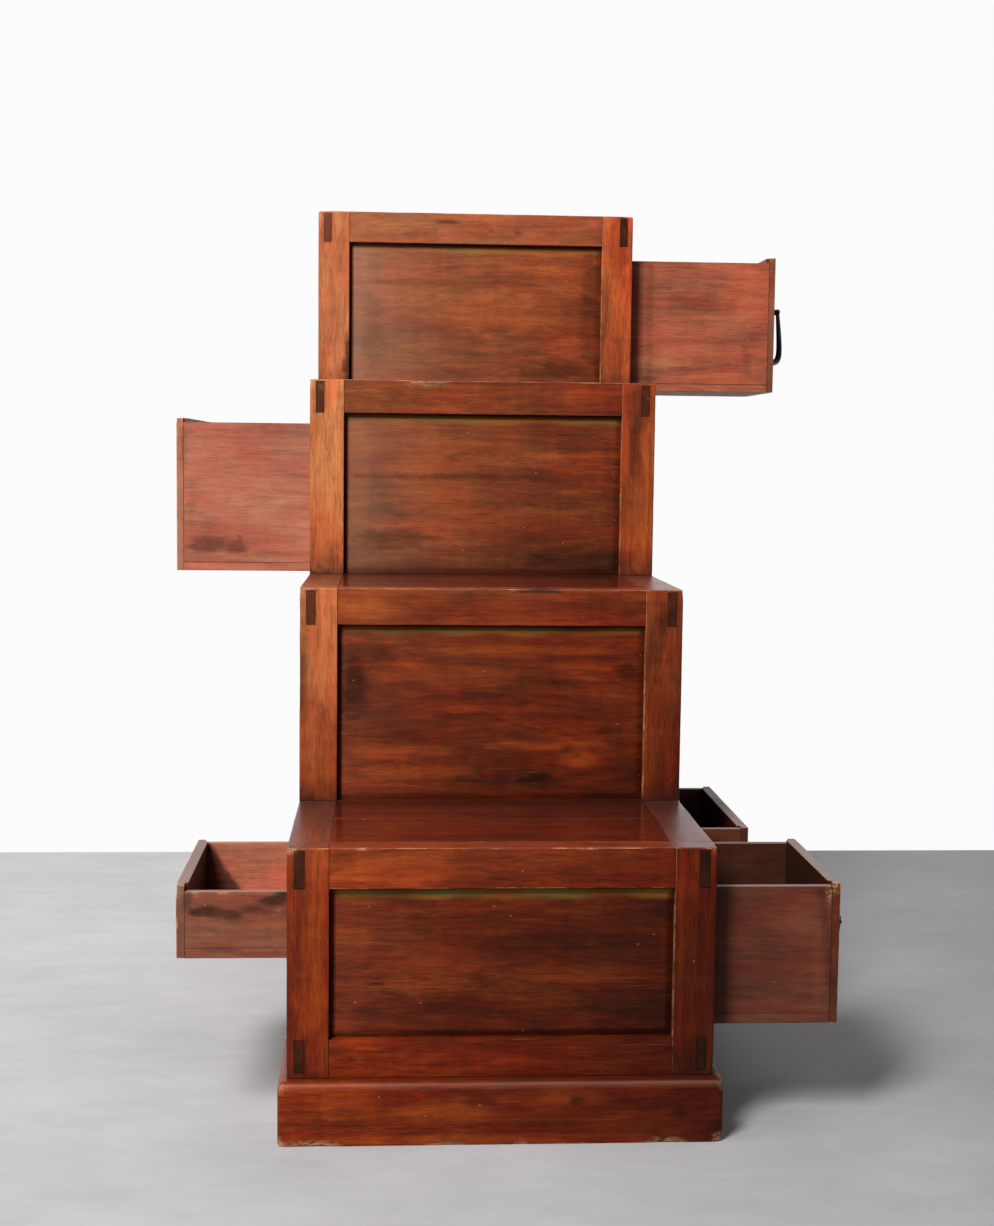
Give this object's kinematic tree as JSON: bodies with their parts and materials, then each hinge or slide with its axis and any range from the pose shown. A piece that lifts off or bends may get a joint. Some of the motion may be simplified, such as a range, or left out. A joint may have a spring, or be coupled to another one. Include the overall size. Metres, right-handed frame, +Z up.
{
  "type": "step chest",
  "caption": "Wooden stair-shaped chest with framed risers on a plinth, drawers that pull out of both sides on iron pulls, and a cupboard with sliding doors.",
  "frame": {"origin": "underside of the front plinth board, mid-width, in line with the face of the lowest riser", "axes": "+Z up, +Y the way the steps climb, +X to the right of someone about to climb"},
  "size_m": [0.9026, 1.053, 1.085],
  "materials": {
    "carcass_hardwood": "worn satin stain",
    "panel_hardwood": "worn satin stain",
    "tread_hardwood": "worn satin stain",
    "drawer_wood": "matte, thin stain",
    "inner_wood": "bare, dusty",
    "iron": "blackened"
  },
  "bodies": {
    "carcass": {"plinth_ends": "carcass_hardwood", "plinth_sides": "carcass_hardwood", "plinth_blocks": "inner_wood", "step_1_posts": "carcass_hardwood", "step_2_posts": "carcass_hardwood", "step_3_posts": "carcass_hardwood", "step_4_posts": "carcass_hardwood", "back_posts": "carcass_hardwood", "mid_posts": "carcass_hardwood", "base_side_rails": "carcass_hardwood", "step_1_side_rails": "carcass_hardwood", "step_2_side_rails": "carcass_hardwood", "step_3_side_rails": "carcass_hardwood", "step_4_side_rails": "carcass_hardwood", "base_front_rail": "carcass_hardwood", "step_1_front_rail": "carcass_hardwood", "step_2_front_rail": "carcass_hardwood", "step_3_front_rail": "carcass_hardwood", "step_4_front_rail": "carcass_hardwood", "back_rails": "carcass_hardwood", "step_1_panel": "panel_hardwood", "step_2_panel": "panel_hardwood", "step_3_panel": "panel_hardwood", "step_4_panel": "panel_hardwood", "side_panels": "panel_hardwood", "back_panels": "panel_hardwood", "floor_board": "inner_wood", "step_1_board": "tread_hardwood", "step_2_board": "tread_hardwood", "step_3_board": "tread_hardwood", "step_4_board": "tread_hardwood", "partitions": "inner_wood", "drawer_guides": "inner_wood", "door_tracks": "carcass_hardwood"},
    "top_drawer": {"top_drawer_box": "drawer_wood", "top_drawer_pull_base": "iron"},
    "top_drawer_bail": {"top_drawer_bail": "iron"},
    "long_drawer": {"long_drawer_box": "drawer_wood", "long_drawer_pull_base": "iron"},
    "long_drawer_bail": {"long_drawer_bail": "iron"},
    "upper_shallow_drawer": {"upper_shallow_drawer_box": "drawer_wood", "upper_shallow_drawer_pull_base": "iron"},
    "upper_shallow_drawer_ring": {"upper_shallow_drawer_ring": "iron"},
    "lower_shallow_drawer": {"lower_shallow_drawer_box": "drawer_wood", "lower_shallow_drawer_pull_base": "iron"},
    "lower_shallow_drawer_ring": {"lower_shallow_drawer_ring": "iron"},
    "deep_drawer": {"deep_drawer_box": "drawer_wood", "deep_drawer_pull_base": "iron"},
    "deep_drawer_bail": {"deep_drawer_bail": "iron"},
    "middle_drawer": {"middle_drawer_box": "drawer_wood", "middle_drawer_pull_base": "iron"},
    "middle_drawer_bail": {"middle_drawer_bail": "iron"},
    "wide_drawer": {"wide_drawer_box": "drawer_wood", "wide_drawer_pull_base": "iron"},
    "wide_drawer_bail": {"wide_drawer_bail": "iron"},
    "front_door": {"front_door": "panel_hardwood", "front_door_pull": "iron"},
    "rear_door": {"rear_door": "panel_hardwood", "rear_door_pull": "iron"}
  },
  "joints": [
    {"name": "top_drawer_slide", "type": "slide", "parent": "carcass", "child": "top_drawer", "axis": [1, 0, 0], "range_m": [-0.22, 0.11]},
    {"name": "top_drawer_bail_swing", "type": "hinge", "parent": "top_drawer", "child": "top_drawer_bail", "pos_m": [0.464, 0.89775, 0.9565], "axis": [0, -1, 0], "range_deg": [-11, 73]},
    {"name": "long_drawer_slide", "type": "slide", "parent": "carcass", "child": "long_drawer", "axis": [-1, 0, 0], "range_m": [-0.179, 0.13]},
    {"name": "long_drawer_bail_swing", "type": "hinge", "parent": "long_drawer", "child": "long_drawer_bail", "pos_m": [-0.423, 0.7695, 0.7015], "axis": [0, 1, 0], "range_deg": [0, 85]},
    {"name": "upper_shallow_drawer_slide", "type": "slide", "parent": "carcass", "child": "upper_shallow_drawer", "axis": [-1, 0, 0], "range_m": [-0.12, 0.055]},
    {"name": "upper_shallow_drawer_ring_swing", "type": "hinge", "parent": "upper_shallow_drawer", "child": "upper_shallow_drawer_ring", "pos_m": [-0.3552, 0.14325, 0.2455], "axis": [0, 1, 0], "range_deg": [0, 85]},
    {"name": "lower_shallow_drawer_slide", "type": "slide", "parent": "carcass", "child": "lower_shallow_drawer", "axis": [-1, 0, 0], "range_m": [0, 0.17]},
    {"name": "lower_shallow_drawer_ring_swing", "type": "hinge", "parent": "lower_shallow_drawer", "child": "lower_shallow_drawer_ring", "pos_m": [-0.2352, 0.14325, 0.16225], "axis": [0, 1, 0], "range_deg": [0, 85]},
    {"name": "deep_drawer_slide", "type": "slide", "parent": "carcass", "child": "deep_drawer", "axis": [1, 0, 0], "range_m": [-0.143, 0.035]},
    {"name": "deep_drawer_bail_swing", "type": "hinge", "parent": "deep_drawer", "child": "deep_drawer_bail", "pos_m": [0.387, 0.14325, 0.21225], "axis": [0, -1, 0], "range_deg": [0, 85]},
    {"name": "middle_drawer_slide", "type": "slide", "parent": "carcass", "child": "middle_drawer", "axis": [1, 0, 0], "range_m": [-0.0925, 0.22]},
    {"name": "middle_drawer_bail_swing", "type": "hinge", "parent": "middle_drawer", "child": "middle_drawer_bail", "pos_m": [0.3365, 0.4235, 0.2155], "axis": [0, -1, 0], "range_deg": [0, 85]},
    {"name": "wide_drawer_slide", "type": "slide", "parent": "carcass", "child": "wide_drawer", "axis": [1, 0, 0], "range_m": [0, 0.32]},
    {"name": "wide_drawer_bail_swing", "type": "hinge", "parent": "wide_drawer", "child": "wide_drawer_bail", "pos_m": [0.244, 0.79325, 0.21225], "axis": [0, -1, 0], "range_deg": [0, 85]},
    {"name": "front_door_slide", "type": "slide", "parent": "carcass", "child": "front_door", "axis": [0, 1, 0], "range_m": [0, 0.333]},
    {"name": "rear_door_slide", "type": "slide", "parent": "carcass", "child": "rear_door", "axis": [0, 1, 0], "range_m": [-0.333, 0]}
  ]
}
